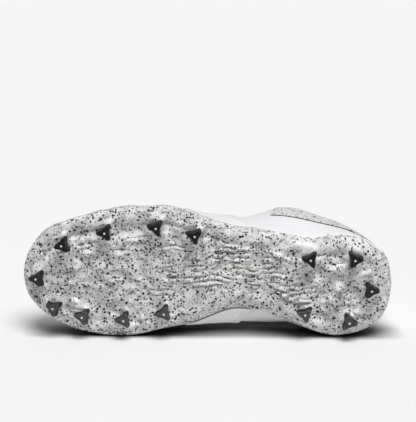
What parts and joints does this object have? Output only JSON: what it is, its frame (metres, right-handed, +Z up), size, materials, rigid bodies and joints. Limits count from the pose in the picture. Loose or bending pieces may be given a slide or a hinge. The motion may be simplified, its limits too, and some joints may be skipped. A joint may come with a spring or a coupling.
{
  "type": "football cleat",
  "caption": "Left football cleat lying on its inner side: hollow leather upper with lace bars and tongue on a speckled moulded plate with three-cornered studs.",
  "frame": {"origin": "middle of the bottom face of the box that holds the shoe as it lies on the floor", "axes": "+X from the toe to the heel, +Y from the studs to the collar, +Z up from the floor, towards the outer side of the shoe"},
  "size_m": [0.3, 0.1414, 0.1073],
  "materials": {
    "outsole": "glossy moulded pale grey with dark specks",
    "stud": "satin black",
    "upper": "smooth white leather",
    "saddle": "smooth white leather, stitched",
    "heel_wrap": "speckled grey film",
    "tongue": "padded white leather",
    "insole": "plain grey cloth",
    "lace": "flat woven white lace"
  },
  "bodies": {
    "root": {"outsole": "outsole", "stud_1": "stud", "stud_2": "stud", "stud_3": "stud", "stud_4": "stud", "stud_5": "stud", "stud_6": "stud", "stud_7": "stud", "stud_8": "stud", "stud_9": "stud", "stud_10": "stud", "stud_11": "stud", "stud_12": "stud", "stud_13": "stud", "stud_14": "stud", "upper": "upper", "saddle_medial": "saddle", "saddle_lateral": "saddle", "heel_wrap": "heel_wrap", "tongue": "tongue", "insole": "insole", "lace_bar_1": "lace", "lace_bar_2": "lace", "lace_bar_3": "lace", "lace_bar_4": "lace", "lace_bar_5": "lace", "lace_bar_6": "lace"}
  },
  "joints": []
}
